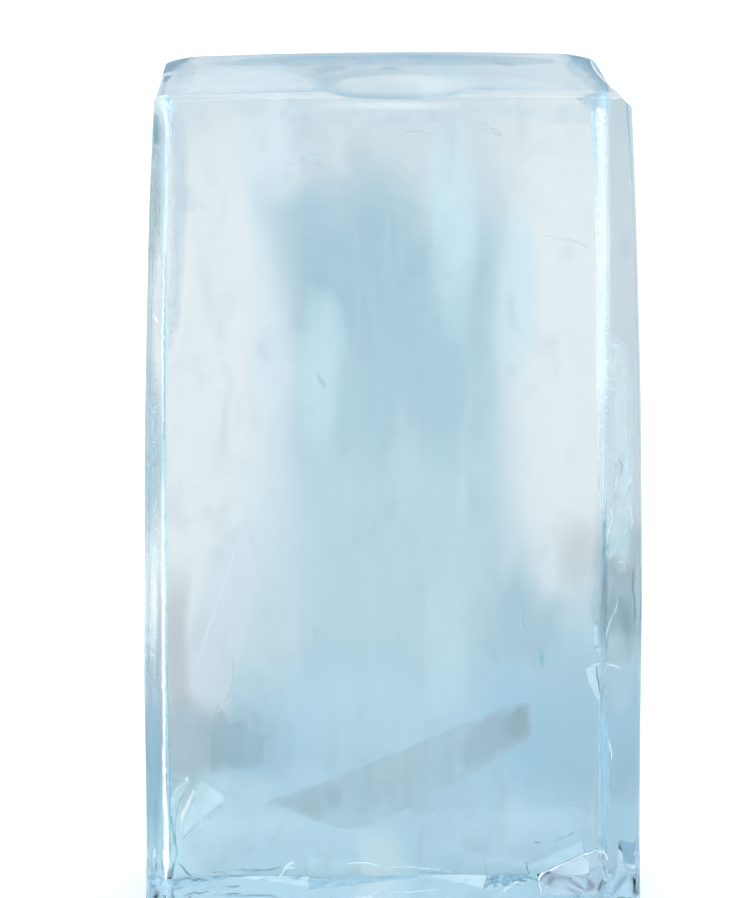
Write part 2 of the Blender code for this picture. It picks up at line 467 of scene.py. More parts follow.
@dataclass(frozen=True)
class ClearIce:
    """Clear ice with soft cloudy and blue zones in its faces, with a little painted shade and light."""

    name: str = "clear_ice"
    ior: float = 1.31
    roughness: float = 0.05
    absorption_colour: Row = (0.285, 0.626, 0.769, 1.0)
    absorption_density: float = 1.3
    clear: Row = (1.0, 1.0, 1.0, 1.0)
    side: Row = (0.72, 0.84, 0.90, 1.0)
    through: Row = (1.08, 1.205, 1.27)
    strip_through: Row = (0.95, 0.98, 1.00)
    top_through: Row = (0.66, 0.76, 0.81)
    warp_across: float = 0.060
    warp_up: float = 0.120
    drift: Grain = Grain((9.0, 9.0, 4.0))
    lift: Grain = Grain((11.0, 7.0, 6.0))
    light_streaks: Grain = Grain((42.0, 42.0, 7.0), low=0.52, high=0.80)
    light_share: float = 0.16
    dark_mottle: Grain = Grain((26.0, 26.0, 15.0), 4.0, 0.8, 0.48, 0.78)
    dark_share: float = 0.28
    front_edge: Row = (-0.070, -0.112)
    back_edge: Row = (0.085, 0.112)
    top_edge: Row = (0.858, 0.863)
    across_fit: Row = (0.9639, -0.0092)
    up_fit: Row = (0.9633, 0.0642)

    def face(
        self, paint: Painter, zones: tuple[Zone, ...], ground: Row, through: Row, spot: object
    ) -> object:
        """Paint one face's zones.

        Args:
            paint: the painter.
            zones: the zones, in the order they are laid on.
            ground: the colour between them.
            through: how clear ice looks here, in linear red, green and blue.
            spot: the place, in the coordinates that the zones are given in.

        Returns:
            The face's colour.
        """
        colour: object = ground
        for zone in zones:
            colour = paint.mix(paint.within(spot, zone), colour, zone.tone.tint(through, zone.lit))
        return colour

    def streaks(self, paint: Painter, place: object, colour: object) -> object:
        """Lay fine upright streaks and mottling over a colour.

        Args:
            paint: the painter.
            place: the place.
            colour: the colour under them.

        Returns:
            The streaked colour.
        """
        light = paint.show(place, self.light_streaks, 0.0, self.light_share)
        dark = paint.show(place, self.dark_mottle, 0.0, self.dark_share)
        colour = paint.mix(light, colour, Tone.CLEAR.tint(self.through))
        return paint.mix(dark, colour, Tone.SLATE.tint(self.through))

    def make(self) -> bpy.types.Material:
        """Build the material.

        Returns:
            The material.
        """
        material = bpy.data.materials.new(self.name)
        material.use_nodes = True
        tree = material.node_tree
        paint = Painter(tree)
        shader = tree.nodes["Principled BSDF"]
        place = paint.node("ShaderNodeTexCoord").outputs["Object"]
        split = paint.node("ShaderNodeSeparateXYZ")
        paint.feed(split.inputs[0], place)
        x, y, z = split.outputs
        drift = paint.sum("SUBTRACT", paint.noise(place, self.drift), NOISE_MIDDLE)
        lift = paint.sum("SUBTRACT", paint.noise(place, self.lift), NOISE_MIDDLE)
        across = paint.sum("MULTIPLY_ADD", drift, self.warp_across, x)
        up = paint.sum("MULTIPLY_ADD", lift, self.warp_up, z)
        along = paint.sum("MULTIPLY_ADD", lift, self.warp_across, y)
        seen_across = paint.sum("MULTIPLY_ADD", across, *self.across_fit)
        seen_up = paint.sum("MULTIPLY_ADD", up, *self.up_fit)
        pool = Tone.POOL.tint(self.through)
        deep = self.face(paint, DEEP_ZONES, pool, self.through, paint.spot(seen_across, seen_up))
        front = self.face(paint, STRIP_ZONES, self.clear, self.strip_through, paint.spot(across, up))
        haze = Tone.HAZE.tint(self.top_through)
        top = self.face(paint, TOP_ZONES, haze, self.top_through, paint.spot(across, along))
        colour = paint.mix(paint.rise(y, *self.front_edge), self.side, front)
        colour = paint.mix(paint.rise(y, *self.back_edge), colour, self.streaks(paint, place, deep))
        paint.feed(shader.inputs["Base Color"], paint.mix(paint.rise(z, *self.top_edge), colour, top))
        shader.inputs["Roughness"].default_value = self.roughness
        shader.inputs["Transmission Weight"].default_value = 1.0
        shader.inputs["IOR"].default_value = self.ior
        volume = paint.node("ShaderNodeVolumeAbsorption")
        volume.inputs["Color"].default_value = self.absorption_colour
        volume.inputs["Density"].default_value = self.absorption_density
        paint.feed(tree.nodes["Material Output"].inputs["Volume"], volume.outputs["Volume"])
        return material


@dataclass(frozen=True)
class CrackFinish:
    """A finish for a crack, painted shade or a glint in the ice: pale where it scatters light, grey where it
    turns it away.
    """

    name: str
    colour: Row
    alpha: float
    patchiness: float = 0.35
    patches: Grain = Grain((34.0, 34.0, 14.0), swirl=0.0)
    roughness: float = 0.40

    def make(self) -> bpy.types.Material:
        """Build the material.

        Returns:
            The material.
        """
        material = bpy.data.materials.new(self.name)
        material.use_nodes = True
        paint = Painter(material.node_tree)
        shader = material.node_tree.nodes["Principled BSDF"]
        place = paint.node("ShaderNodeTexCoord").outputs["Object"]
        alpha = paint.show(place, self.patches, self.alpha * (1 - self.patchiness), self.alpha)
        soft = paint.node("ShaderNodeAttribute", attribute_name=SOFTNESS)
        alpha = paint.sum("MULTIPLY", alpha, soft.outputs["Fac"])
        shader.inputs["Base Color"].default_value = (*self.colour, 1.0)
        paint.feed(shader.inputs["Alpha"], alpha)
        shader.inputs["Roughness"].default_value = self.roughness
        shader.inputs["Specular IOR Level"].default_value = 0.0
        return material


# Finishes of the fractures, from grey to white
GREY = CrackFinish("grey_fracture", (0.40, 0.47, 0.50), 0.28, 0.4)
# Thin grey fractures, and the painted shade at the long fracture's lower edge
GREY_THIN = CrackFinish("thin_grey_fracture_and_shade", (0.40, 0.48, 0.51), 0.14)
# Dark fractures, and the painted shade at the long fracture's two ends
DARK = CrackFinish("dark_fracture_and_shade", (0.26, 0.35, 0.40), 0.20)
DARK_THIN = CrackFinish("thin_dark_fracture", (0.34, 0.43, 0.45), 0.22)
MIST = CrackFinish("misty_fracture", (0.86, 0.97, 1.00), 0.26, 0.4)
FAINT_LIGHT = CrackFinish("faint_light", (0.86, 0.96, 1.00), 0.07, 0.3)
LILAC = CrackFinish("lilac_fracture", (0.60, 0.69, 0.79), 0.35)
# White fractures, and the painted glint on the chip at the left
WHITE = CrackFinish("white_fracture_and_glint", (0.97, 0.99, 1.00), 0.92, 0.15)

# Finishes of the veils, covers and clouds, and of painted shade
VEIL = CrackFinish("milky_veil", (0.96, 0.96, 0.96), 0.65, 0.2)
STRIP_VEIL = CrackFinish("strip_veil", (0.58, 0.63, 0.63), 0.80, 0.2)
BLUE_VEIL = CrackFinish("blue_veil", (0.44, 0.66, 0.79), 0.40, 0.4)
SKY_VEIL = CrackFinish("sky_veil", (0.46, 0.67, 0.80), 0.55, 0.2)
PANE_VEIL = CrackFinish("pane_veil", (0.79, 0.86, 0.88), 0.90, 0.1)
TEAL_VEIL = CrackFinish("teal_veil", (0.26, 0.44, 0.49), 0.42, 0.4)
EDGE_VEIL = CrackFinish("edge_veil", (0.62, 0.72, 0.76), 0.90, 0.1)
EDGE_SHADE = CrackFinish("edge_shade", (0.42, 0.52, 0.60), 0.38, 0.2)
EDGE_LIGHT = CrackFinish("edge_light", (0.82, 0.90, 0.93), 0.75, 0.2)
RIM_VEIL = CrackFinish("rim_veil", (0.76, 0.85, 0.91), 0.30, 0.2)
TOP_MIST = CrackFinish("top_mist", (0.90, 0.94, 0.95), 0.22, 0.15)
CORNER_VEIL = CrackFinish("corner_veil", (0.52, 0.62, 0.70), 0.42, 0.3)
PANE_THIN = CrackFinish("thin_pane_veil", (0.84, 0.89, 0.90), 0.58, 0.2)
SPLASH_VEIL = CrackFinish("splash_veil", (0.90, 0.96, 0.98), 0.62, 0.6)
TEAL_COVER = CrackFinish("teal_cover", (0.34, 0.48, 0.54), 0.75, 0.2)
BLUE_COVER = CrackFinish("blue_cover", (0.31, 0.51, 0.64), 0.85, 0.1)
SHADE_VEIL = CrackFinish("shade_veil", (0.38, 0.50, 0.56), 0.34, 0.4)
FOOT_COVER = CrackFinish("foot_cover", (0.40, 0.59, 0.71), 0.80, 0.1)
CHIP_VEIL = CrackFinish("chip_veil", (0.66, 0.82, 0.86), 0.42, 0.4)
# Smudges, mottling and a lilac patch, and the painted shade of the sheets named shade
GREY_VEIL = CrackFinish("grey_veil_and_shade", (0.44, 0.54, 0.60), 0.26, 0.6)
TOP_VEIL = CrackFinish("top_veil", (0.90, 0.94, 0.95), 0.48, 0.15)
TOP_BLUE = CrackFinish("top_blue_veil", (0.33, 0.52, 0.64), 0.42, 0.3)
TOP_GREY = CrackFinish("top_grey_veil", (0.33, 0.45, 0.52), 0.40, 0.4)

# Finishes of the narrow cracks
# White cracks, and the painted glints by the left edge
WHITE_LINE = CrackFinish("white_crack_and_glint", (0.97, 0.99, 1.00), 0.85, 0.6)
PALE_LINE = CrackFinish("pale_crack", (0.90, 0.98, 1.00), 0.45, 0.7)
GREY_LINE = CrackFinish("grey_crack", (0.33, 0.45, 0.51), 0.40, 0.8)
FAINT_LINE = CrackFinish("faint_crack", (0.33, 0.45, 0.51), 0.14, 0.5)
DARK_LINE = CrackFinish("dark_crack", (0.11, 0.23, 0.29), 0.60, 0.6)
TEAL_LINE = CrackFinish("teal_crack", (0.23, 0.52, 0.56), 0.55, 0.6)


@dataclass
class Shard:
    """The plain geometry of one crack: its points, its faces and how solid it is at each point."""

    points: list[Vector]
    faces: list[tuple[int, ...]]
    solid: list[float]

    @classmethod
    def take(cls, bm: bmesh.types.BMesh, solid: np.ndarray) -> "Shard":
        """Take the geometry out of a mesh being built.

        Args:
            bm: the mesh, which is freed.
            solid: how solid it is at each point.

        Returns:
            The geometry.
        """
        bmesh.ops.recalc_face_normals(bm, faces=bm.faces)
        bm.verts.index_update()
        points = [vertex.co.copy() for vertex in bm.verts]
        faces = [tuple(vertex.index for vertex in face.verts) for face in bm.faces]
        bm.free()
        return cls(points, faces, [float(value) for value in solid])


def place_cracks(finish: CrackFinish, shards: list[Shard]) -> bpy.types.Object:
    """Join the cracks that share a finish into a piece that goes with the block.

    Args:
        finish: the finish.
        shards: the cracks.

    Returns:
        The piece.
    """
    points: list[Vector] = []
    faces: list[tuple[int, ...]] = []
    solid: list[float] = []
    for shard in shards:
        start = len(points)
        points += shard.points
        faces += [tuple(start + corner for corner in face) for face in shard.faces]
        solid += shard.solid
    mesh = bpy.data.meshes.new(f"cracks_{finish.name}")
    mesh.from_pydata(points, [], faces)
    mesh.attributes.new(SOFTNESS, "FLOAT", "POINT").data.foreach_set("value", solid)
    mesh.materials.append(finish.make())
    mesh.shade_smooth()
    mesh.set_sharp_from_angle(angle=math.radians(CRACK_CREASE))
    piece = bpy.data.objects.new(mesh.name, mesh)
    bpy.context.scene.collection.objects.link(piece)
    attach(piece, BODY)
    return piece


class Kind(Enum):
    """The kinds of crack surface: whether it lies level, and how far it bows, in millimetres.

    An upright one has its outline in X and Z, at a place along Y. A level one has it in X and Y, at a height.
    """

    CRACK = (False, 1.6)
    VEIL = (False, 0.4)
    FLECK = (True, 0.3)
    CLOUD = (True, 0.2)


@dataclass(frozen=True)
class Fracture:
    """A crack surface in the ice, or a sheet of painted shade or glint, in millimetres: where it lies, how
    softly it ends, and its outline.
    """

    name: str
    finish: CrackFinish
    kind: Kind
    level: float
    feather: float
    outline: tuple[Row, ...]
    step: float = 4.0
    ragged: float = 0.7
    ragged_length: float = 1.7
    ragged_shift: float = 50.0
    slow_waves: float = 22.0
    slow_share: float = 3.0
    quick_waves: float = 90.0
    thickness: float = 0.5

    def border(self) -> list[Vector]:
        """Walk round the outline in short, slightly ragged steps.

        Returns:
            The points of the border, in X and Z.
        """
        made = []
        corners = [Vector((x / MM, 0, z / MM)) for x, z in self.outline]
        step = self.step / MM
        shift = Vector((0, self.level / MM * self.ragged_shift, 0))
        for start, end in zip(corners, corners[1:] + corners[:1]):
            count = max(1, round((end - start).length / step))
            for index in range(count):
                spot = start.lerp(end, index / count)
                jitter = noise.noise_vector(spot / step / self.ragged_length + shift)
                made.append(spot + Vector((jitter.x, 0, jitter.z)) * (self.ragged / MM))
        return made

    def cut_across(self, bm: bmesh.types.BMesh, axis: int, spacing: float) -> None:
        """Cut the sheet at even spaces, so that it can bow and fade.

        Args:
            bm: the sheet.
            axis: the axis to cut across.
            spacing: the space between cuts.
        """
        places = [vertex.co[axis] for vertex in bm.verts]
        normal = Vector((0, 0, 0))
        normal[axis] = 1.0
        for place in np.arange(min(places) + spacing / 2, max(places), spacing):
            geometry = bm.verts[:] + bm.edges[:] + bm.faces[:]
            spot = normal * float(place)
            bmesh.ops.bisect_plane(bm, geom=geometry, dist=TINY, plane_co=spot, plane_no=normal)

    def solid(self, bm: bmesh.types.BMesh, border: list[Vector]) -> np.ndarray:
        """Work out how solid the sheet is at each point: it fades towards its border.

        Args:
            bm: the sheet.
            border: its border.

        Returns:
            0 at the border, rising to 1 inside.
        """
        spots = np.array([(vertex.co.x, vertex.co.z) for vertex in bm.verts])
        starts = np.array([(spot.x, spot.z) for spot in border])
        runs = np.roll(starts, -1, axis=0) - starts
        offsets = spots[:, None, :] - starts[None, :, :]
        share = np.clip((offsets * runs).sum(axis=2) / ((runs**2).sum(axis=1) + NOT_ZERO), 0.0, 1.0)
        gaps = np.linalg.norm(offsets - share[:, :, None] * runs[None, :, :], axis=2).min(axis=1)
        return smooth(0.0, self.feather / MM, gaps)

    def shard(self) -> Shard:
        """Build the sheet, thin, closed and gently bowed.

        Returns:
            Its geometry.
        """
        bm = bmesh.new()
        border = self.border()
        loop = [bm.verts.new(spot) for spot in border]
        edges = [bm.edges.new(pair) for pair in zip(loop, loop[1:] + loop[:1])]
        bmesh.ops.triangle_fill(bm, use_beauty=True, use_dissolve=False, edges=edges)
        for axis in (0, 2):
            self.cut_across(bm, axis, max(self.feather, self.step / 2) / MM)
        bmesh.ops.triangulate(bm, faces=bm.faces)
        lies_level, bow = self.kind.value
        for vertex in bm.verts:
            slow = noise.noise(vertex.co * self.slow_waves) * self.slow_share
            quick = noise.noise(vertex.co * self.quick_waves)
            vertex.co.y = (self.level + (slow + quick) * bow) / MM
        bmesh.ops.solidify(bm, geom=bm.faces[:], thickness=self.thickness / MM)
        solid = self.solid(bm, border)
        if lies_level:
            for vertex in bm.verts:
                vertex.co.yz = vertex.co.z, vertex.co.y
        return Shard.take(bm, solid)


@dataclass(frozen=True)
class Seam:
    """A narrow crack or painted glint, in millimetres: its place along Y, its half width, and its points in X
    and Z.
    """

    name: str
    finish: CrackFinish
    level: float
    half_width: float
    points: tuple[Row, ...]
    steps: int = 7
    sides: int = 6
    flatness: float = 0.35
    fade: float = 2.5
    swell_power: float = 0.45
    uneven: float = 0.55
    uneven_waves: float = 140.0
    sway_waves: float = 95.0
    sway_shift: Row = (3, 1, 4)

    def path(self) -> list[Vector]:
        """Run a smooth line through the points.

        Returns:
            The points of the line.
        """
        ends = [Vector((x / MM, self.level / MM, z / MM)) for x, z in self.points]
        ends = [ends[0] * 2 - ends[1], *ends, ends[-1] * 2 - ends[-2]]
        made = []
        for before, start, end, after in zip(ends, ends[1:], ends[2:], ends[3:]):
            for index in range(self.steps):
                t = index / self.steps
                bend = (2 * start, (end - before) * t, (2 * before - 5 * start + 4 * end - after) * t**2)
                made.append((bend[0] + bend[1] + bend[2] + (3 * start - before - 3 * end + after) * t**3) / 2)
        made.append(ends[-2])
        return made

    def ring(self, path: list[Vector], index: int) -> list[Vector]:
        """Work out the sliver's outline at one point of its line.

        Args:
            path: the line.
            index: the point's number.

        Returns:
            The outline's points.
        """
        run = (path[index + 1] - path[index - 1]).normalized()
        side = Vector((-run.z, 0, run.x))
        half_width = self.half_width / MM
        swell = math.sin(math.pi * index / (len(path) - 1)) ** self.swell_power
        wide = half_width * swell * (1.0 + self.uneven * noise.noise(path[index] * self.uneven_waves))
        sway = side * noise.noise(path[index] * self.sway_waves + Vector(self.sway_shift)) * half_width
        made = []
        for number in range(self.sides):
            angle = math.tau * number / self.sides
            out = side * math.cos(angle) * wide + Vector((0, math.sin(angle), 0)) * wide * self.flatness
            made.append(path[index] + sway + out)
        return made

    def shard(self) -> Shard:
        """Build the crack as a flat, uneven sliver that tapers and fades to both ends.

        Returns:
            Its geometry.
        """
        bm = bmesh.new()
        path = self.path()
        last = len(path) - 1
        rings = [[bm.verts.new(spot) for spot in self.ring(path, index)] for index in range(1, last)]
        solid = [min(1.0, self.fade * math.sin(math.pi * index / last)) for index in range(1, last)]
        solid = [value for value in solid for _ in range(self.sides)] + [0.0, 0.0]
        tips = bm.verts.new(path[0]), bm.verts.new(path[-1])
        for first, second in zip(rings, rings[1:]):
            for number in range(self.sides):
                after = (number + 1) % self.sides
                bm.faces.new((first[number], first[after], second[after], second[number]))
        for tip, ring in zip(tips, (rings[0], rings[-1])):
            for number in range(self.sides):
                bm.faces.new((tip, ring[number], ring[(number + 1) % self.sides]))
        return Shard.take(bm, np.array(solid))


FRACTURES = (
    # The long fracture that rises to the right above the foot, with painted shade at its ends and lower edge.
    Fracture("long_fracture", GREY, Kind.CRACK, 0, 2.2, (
        (-131, 107), (-120, 119), (-92, 126), (-45, 145), (11, 168), (68, 192), (119, 214), (148, 221),
        (147, 182), (135, 171), (94, 143), (68, 129), (53, 123), (27, 107), (11, 97), (-20, 82), (-45, 82),
        (-76, 91), (-102, 103),
    )),
    Fracture("long_fracture_end", DARK, Kind.CRACK, 4, 5, (
        (119, 195), (130, 212), (146, 218), (147, 181), (139, 171), (129, 175), (123, 181),
    )),
    Fracture("long_fracture_shade", GREY_THIN, Kind.CRACK, 4, 4, (
        (16, 106), (37, 110), (53, 103), (45, 93), (24, 89),
    )),
    # Painted shade: a dark soft sheet over the fracture's left end.
    Fracture("long_fracture_left_shade", DARK, Kind.VEIL, 4, 10, (
        (-127, 106), (-114, 119), (-92, 129), (-61, 136), (-44, 131), (-48, 107), (-61, 88), (-81, 88),
        (-102, 98),
    )),
    # Painted shade: a dark soft sheet over the fracture's right end.
    Fracture("long_fracture_right_shade", DARK, Kind.VEIL, 4, 9, (
        (84, 194), (114, 210), (142, 217), (145, 184), (131, 169), (102, 150), (75, 138), (68, 164),
    )),
    # The fracture low on the left and the chip beside it, with painted shade and a painted glint.
    Fracture("left_fracture", DARK_THIN, Kind.CRACK, 30, 4.5, (
        (-180, 204), (-171, 210), (-162, 193), (-150, 199), (-141, 187), (-129, 183), (-116, 177),
        (-126, 172), (-128, 145), (-153, 143), (-165, 140), (-179, 134), (-187, 137), (-184, 169),
    )),
    Fracture("left_fracture_top", GREY_THIN, Kind.CRACK, 31, 8, (
        (-160, 227), (-142, 223), (-129, 201), (-130, 181), (-164, 184), (-179, 202),
    )),
    Fracture("left_shade_low", GREY_VEIL, Kind.VEIL, -30, 6, (
        (-224, 232), (-225, 167), (-226, 124), (-221, 129), (-213, 144), (-203, 150), (-191, 150),
        (-180, 158), (-194, 199), (-208, 231),
    )),
    Fracture("left_chip", CHIP_VEIL, Kind.VEIL, -20, 4, (
        (-196, 144), (-189, 142), (-182, 137), (-168, 127), (-167, 119), (-179, 102), (-194, 95),
        (-202, 87), (-214, 72), (-218, 87), (-213, 108), (-204, 124),
    )),
    Fracture("left_chip_shade", GREY_VEIL, Kind.VEIL, -22, 3, (
        (-168, 125), (-166, 118), (-180, 102), (-194, 94), (-202, 87), (-214, 72), (-215, 81), (-203, 96),
        (-187, 109), (-176, 119),
    )),
    Fracture("left_chip_light", VEIL, Kind.VEIL, -24, 2.4, (
        (-199, 138), (-201, 127), (-207, 116), (-213, 101), (-217, 91), (-218, 99), (-214, 112),
        (-208, 124), (-203, 134),
    )),
    Fracture("left_chip_wing", CHIP_VEIL, Kind.VEIL, -26, 2.6, (
        (-209, 149), (-204, 147), (-208, 134), (-216, 123), (-223, 113), (-225, 121), (-221, 132),
        (-215, 142),
    )),
    # Painted glint: a small white patch on the chip.
    Fracture("left_chip_glint", WHITE, Kind.CRACK, -25, 2, (
        (-211, 148), (-206, 149), (-207, 139), (-211, 140),
    )),
    # The scar, the splash and the ledge on the right side.
    Fracture("scar", DARK_THIN, Kind.CRACK, -96, 3.5, (
        (211, 378), (217, 388), (222, 393), (228, 392), (234, 385), (245, 377), (248, 278), (212, 279),
    )),
    Fracture("scar_core", DARK, Kind.CRACK, -98, 6, (
        (228, 350), (241, 354), (246, 325), (246, 293), (238, 288), (232, 317),
    )),
    Fracture("splash_left", WHITE, Kind.CRACK, -98, 2, (
        (222, 491), (224, 490), (226, 475), (229, 468), (226, 461), (227, 444), (222, 443), (221, 468),
    )),
    Fracture("splash_right", WHITE, Kind.CRACK, -98, 2, (
        (229, 491), (238, 487), (241, 471), (237, 461), (233, 442), (227, 443), (228, 460), (231, 468),
        (231, 478),
    )),
    Fracture("splash_sliver", WHITE, Kind.CRACK, -98, 2, ((217, 429), (220, 429), (219, 403), (216, 409))),
    Fracture("splash_pale", MIST, Kind.CRACK, -94, 5, (
        (209, 384), (215, 413), (221, 437), (230, 444), (239, 437), (243, 403), (242, 381), (234, 387),
        (228, 393), (221, 395), (215, 388),
    )),
    Fracture("splash_body", SPLASH_VEIL, Kind.VEIL, -104, 5, (
        (211, 410), (214, 436), (220, 452), (222, 487), (229, 507), (238, 518), (241, 482), (242, 443),
        (238, 420), (230, 398), (220, 389), (212, 387),
    )),
    Fracture("ledge_wedge", MIST, Kind.CRACK, -60, 2, (
        (197, 266), (210, 271), (212, 262), (215, 243), (215, 226), (207, 237), (200, 252),
    )),
    # Smudges, shade and mottling in the body of the ice.
    Fracture("smudge_a", GREY_VEIL, Kind.CRACK, -80, 2, (
        (-108, 794), (-102, 797), (-96, 795), (-92, 791), (-98, 789), (-106, 790),
    )),
    Fracture("smudge_b", GREY_VEIL, Kind.CRACK, -80, 2, (
        (-94, 800), (-86, 801), (-83, 796), (-88, 792), (-93, 795),
    )),
    Fracture("smudge_c", GREY_VEIL, Kind.CRACK, -80, 2, (
        (-79, 797), (-68, 796), (-59, 793), (-58, 789), (-70, 789), (-79, 792),
    )),
    Fracture("smudge_d", GREY_VEIL, Kind.CRACK, -80, 3, (
        (-101, 807), (-80, 806), (-62, 803), (-49, 799), (-62, 798), (-86, 801),
    )),
    Fracture("smudge_upper", GREY_VEIL, Kind.CRACK, -80, 2.2, (
        (82, 827), (92, 830), (106, 827), (112, 821), (106, 818), (94, 821),
    )),
    Fracture("lilac_patch", GREY_VEIL, Kind.CRACK, -80, 7, (
        (-214, 772), (-202, 777), (-190, 772), (-187, 753), (-194, 743), (-210, 742), (-215, 754),
    )),
    Fracture("mottle_left", GREY_VEIL, Kind.CRACK, -20, 11, (
        (-100, 730), (-72, 741), (-45, 733), (-38, 715), (-60, 701), (-90, 703),
    )),
    Fracture("mottle_mid", GREY_VEIL, Kind.CRACK, -20, 11, (
        (-38, 757), (-5, 763), (30, 751), (35, 732), (5, 724), (-30, 737),
    )),
    Fracture("mottle_low", GREY_VEIL, Kind.CRACK, -20, 12, (
        (5, 665), (35, 673), (55, 648), (52, 613), (25, 605), (8, 632),
    )),
    Fracture("shade_right", GREY_VEIL, Kind.CRACK, 10, 8, (
        (135, 281), (151, 294), (164, 281), (165, 255), (153, 243), (139, 252),
    )),
    # Clouds and flecks just under the top and its rim, and painted shade below the front rim.
    # Painted shade: grey sheets that darken a band just below the front rim.
    Fracture("rim_shade_right", GREY_VEIL, Kind.CRACK, -100, 7, (
        (75, 852), (105, 855), (149, 856), (199, 855), (200, 832), (164, 831), (125, 836), (95, 841),
        (71, 847),
    )),
    Fracture("rim_shade_left", GREY_VEIL, Kind.CRACK, -100, 8, (
        (-116, 860), (-92, 854), (-62, 851), (6, 849), (66, 851), (75, 835), (26, 829), (-43, 826),
        (-102, 828), (-115, 842),
    )),
    Fracture("rim_cloud", RIM_VEIL, Kind.VEIL, -106, 5, (
        (-80, 857), (-58, 859), (6, 859), (60, 858), (87, 856), (79, 853), (57, 850), (6, 849), (-48, 851),
        (-70, 853),
    )),
    Fracture("top_fleck_left", TOP_GREY, Kind.FLECK, 861, 4, (
        (-82, 23), (-65, 39), (-46, 44), (-37, 27), (-52, 5), (-70, -6),
    )),
    Fracture("top_fleck_mid", TOP_GREY, Kind.FLECK, 861, 3, (
        (-13, 25), (-3, 34), (11, 30), (17, 18), (4, 11), (-10, 11),
    )),
    Fracture("top_fleck_right", TOP_GREY, Kind.FLECK, 861, 4, (
        (102, 66), (117, 65), (135, 41), (126, 30), (111, 43),
    )),
    Fracture("top_cloud_left", TOP_VEIL, Kind.CLOUD, 861, 18, (
        (-212, -3), (-188, 30), (-137, 39), (-98, 20), (-73, -20), (-61, -76), (-57, -100), (-141, -100),
        (-217, -100),
    )),
    Fracture("top_cloud_mid", TOP_MIST, Kind.CLOUD, 861, 18, (
        (-69, -60), (-49, -21), (12, -6), (72, -10), (130, -29), (182, -65), (178, -100), (102, -100),
        (4, -100), (-49, -100), (-71, -100),
    )),
    Fracture("top_cloud_back", TOP_BLUE, Kind.CLOUD, 861, 12, (
        (-197, 70), (-146, 91), (-105, 101), (-44, 104), (38, 104), (119, 96), (179, 82), (178, 48),
        (114, 33), (34, 31), (-47, 29), (-97, 37), (-157, 46),
    )),
    Fracture("left_corner_cloud", CORNER_VEIL, Kind.CLOUD, 850, 6, (
        (-217, -34), (-216, 44), (-211, 78), (-203, 95), (-191, 97), (-187, 65), (-193, -35),
    )),
    Fracture("right_corner_cloud", CORNER_VEIL, Kind.CLOUD, 843, 6, (
        (179, 79), (193, 108), (205, 101), (210, 44), (212, -46), (210, -89), (196, -78), (184, 0),
    )),
    # The left front edge, and the strip of the left side that shows past it.
    Fracture("edge_cover", EDGE_VEIL, Kind.VEIL, -96, 3, (
        (-232, 858), (-233, 841), (-232, 801), (-234, 746), (-231, 699), (-225, 698), (-220, 746),
        (-219, 801), (-218, 841), (-219, 857), (-224, 862),
    )),
    Fracture("edge_shade", EDGE_SHADE, Kind.VEIL, -94, 7, (
        (-219, 850), (-219, 800), (-221, 730), (-224, 660), (-225, 609), (-220, 603), (-211, 629),
        (-205, 690), (-201, 760), (-200, 810), (-203, 842), (-211, 852),
    )),
    Fracture("corner_teal", TEAL_VEIL, Kind.VEIL, -104, 2, (
        (-233, 850), (-235, 832), (-234, 816), (-229, 817), (-227, 832), (-229, 846),
    )),
    Fracture("edge_light_top", EDGE_LIGHT, Kind.VEIL, -108, 1.3, (
        (-231, 853), (-229, 855), (-226, 850), (-224, 837), (-224, 813), (-225, 763), (-228, 702),
        (-230, 632), (-231, 560), (-232, 489), (-229, 489), (-228, 560), (-227, 632), (-225, 702),
        (-222, 763), (-221, 812), (-221, 842), (-224, 853), (-228, 857), (-230, 856),
    )),
    Fracture("edge_light_mid", EDGE_LIGHT, Kind.VEIL, -108, 1.2, (
        (-232, 520), (-233, 437), (-233, 354), (-234, 260), (-229, 260), (-228, 354), (-228, 437),
        (-227, 520),
    )),
    Fracture("edge_light_low", WHITE, Kind.VEIL, -110, 1, (
        (-232, 355), (-233, 292), (-233, 229), (-234, 155), (-233, 112), (-234, 80), (-232, 59), (-230, 59),
        (-227, 78), (-227, 112), (-229, 155), (-229, 229), (-229, 292), (-229, 355),
    )),
    Fracture("left_strip_high", STRIP_VEIL, Kind.VEIL, -100, 4, (
        (-233, 819), (-236, 761), (-239, 711), (-237, 661), (-234, 671), (-231, 711), (-230, 761),
        (-229, 811),
    )),
    Fracture("left_strip_mid", PANE_VEIL, Kind.VEIL, -100, 4.5, (
        (-238, 610), (-242, 549), (-243, 498), (-244, 394), (-246, 311), (-243, 248), (-239, 248),
        (-236, 311), (-234, 394), (-234, 498), (-234, 549), (-235, 610),
    )),
    Fracture("left_strip_blue", BLUE_VEIL, Kind.VEIL, -100, 4, (
        (-240, 353), (-245, 269), (-246, 206), (-247, 142), (-236, 142), (-235, 206), (-235, 269),
        (-237, 353),
    )),
    Fracture("left_strip_teal", TEAL_VEIL, Kind.VEIL, -99, 4.8, (
        (-242, 248), (-247, 184), (-247, 142), (-246, 110), (-243, 76), (-239, 75), (-236, 110),
        (-235, 152), (-235, 195), (-238, 248),
    )),
    # The strip of the right side that shows past the right front edge.
    Fracture("right_pane_high", PANE_VEIL, Kind.VEIL, -100, 5, (
        (198, 852), (199, 808), (199, 737), (200, 656), (202, 575), (203, 513), (208, 430), (214, 430),
        (218, 513), (218, 575), (216, 656), (216, 737), (214, 807), (211, 850),
    )),
    Fracture("right_strip_light", PANE_THIN, Kind.VEIL, -98, 9, (
        (212, 625), (211, 554), (212, 482), (214, 409), (225, 372), (237, 372), (243, 409), (242, 481),
        (240, 553), (234, 615),
    )),
    Fracture("right_strip_dark", TEAL_COVER, Kind.VEIL, -96, 4.5, (
        (210, 450), (208, 388), (207, 325), (208, 262), (210, 225), (216, 225), (218, 262), (218, 325),
        (218, 388), (214, 450),
    )),
    Fracture("right_strip_shade", SHADE_VEIL, Kind.VEIL, -96, 9, (
